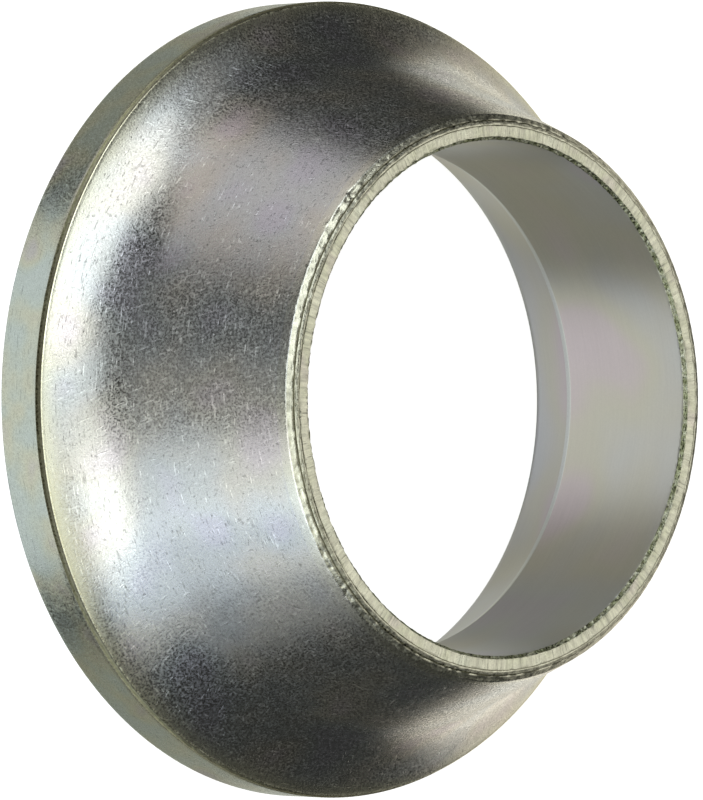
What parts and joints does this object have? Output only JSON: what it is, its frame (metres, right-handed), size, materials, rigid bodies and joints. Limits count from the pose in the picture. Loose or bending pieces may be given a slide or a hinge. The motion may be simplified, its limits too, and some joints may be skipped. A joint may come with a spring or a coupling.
{
  "type": "pipe reducer ring",
  "caption": "One-piece zinc-plated steel ring that steps a pipe line from a large round end down to a small bored end through a flared conical flank.",
  "frame": {"origin": "centre of the large end face, on the ring's axis", "axes": "+Z along the ring's axis, from the large end towards the small end; X and Y lie in the large end face, with no marked direction"},
  "size_m": [0.0483, 0.0482, 0.0175],
  "materials": {
    "zinc_plated_steel": "clear blue passivated zinc plating, tumbled flank, turned band, bore and end face"
  },
  "bodies": {
    "root": {"reducer_ring": "zinc_plated_steel"}
  },
  "joints": []
}
